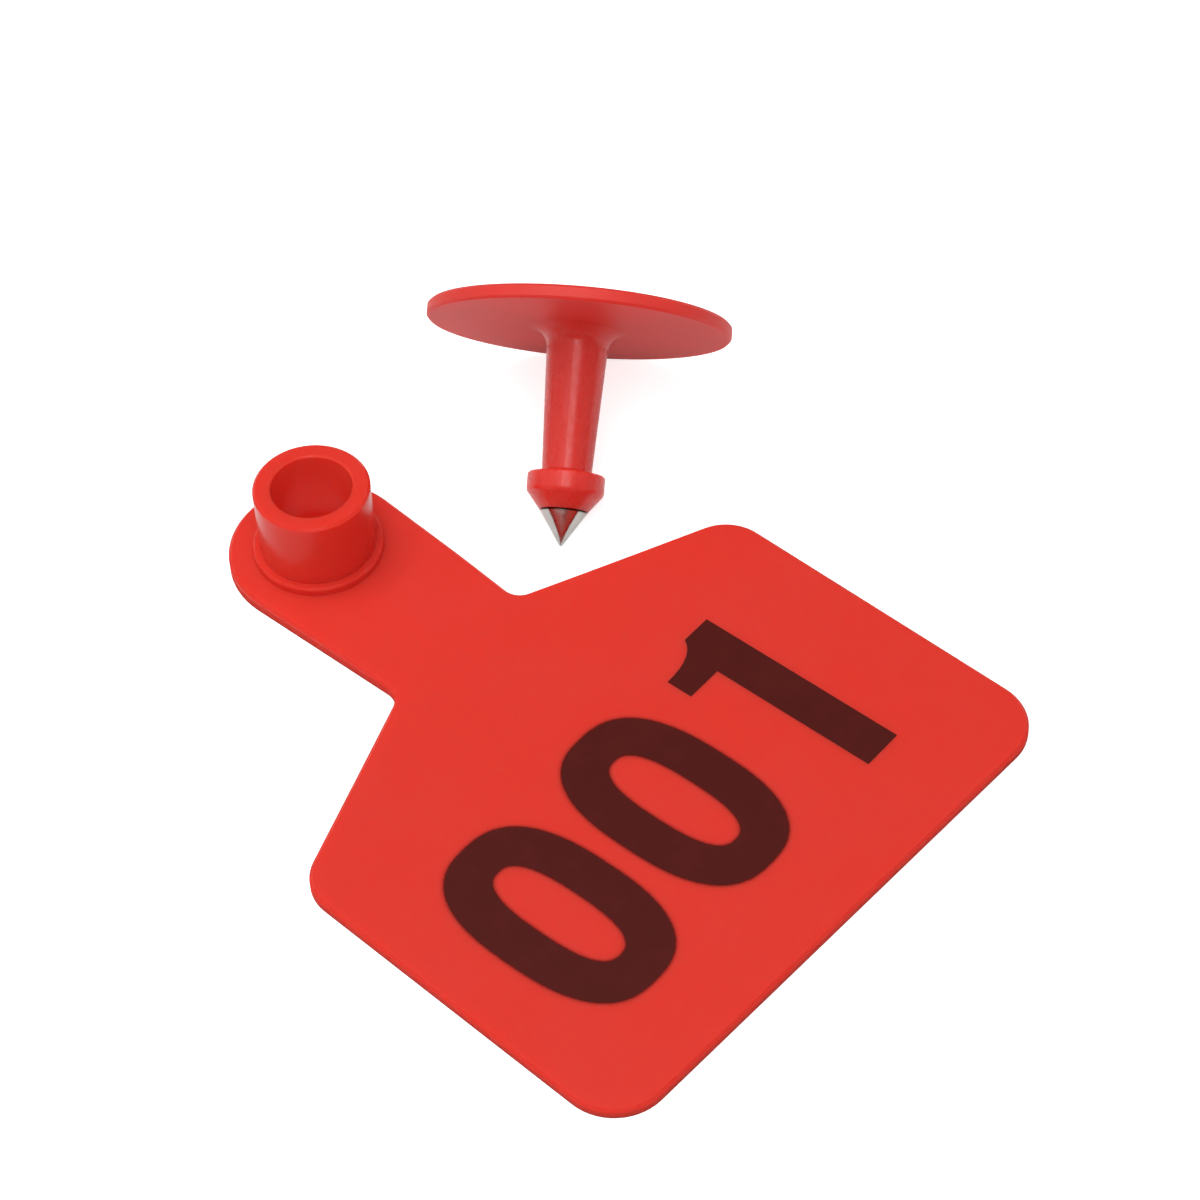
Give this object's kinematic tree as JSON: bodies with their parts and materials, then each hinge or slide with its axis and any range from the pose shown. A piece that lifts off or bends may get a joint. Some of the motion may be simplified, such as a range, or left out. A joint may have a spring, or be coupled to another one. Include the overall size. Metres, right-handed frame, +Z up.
{
  "type": "livestock ear tag",
  "caption": "Soft plastic livestock ear tag: a flag-shaped panel with a tubular socket on its neck, and the separate button stud with a barbed, metal-pointed shank.",
  "frame": {"origin": "on the socket's axis, at the tag's flat back face, which lies on the ground", "axes": "+Z up along the socket's axis towards its mouth; the panel hangs towards -Y, and +X is to the right as the number side is read with the socket at the top"},
  "size_m": [0.0724, 0.075, 0.0253],
  "materials": {
    "red_tag_plastic": "soft satin",
    "red_stud_plastic": "soft satin",
    "point_metal": "polished"
  },
  "bodies": {
    "root": {"tag_panel": "red_tag_plastic", "stud_button": "red_stud_plastic", "stud_point": "point_metal"}
  },
  "joints": []
}
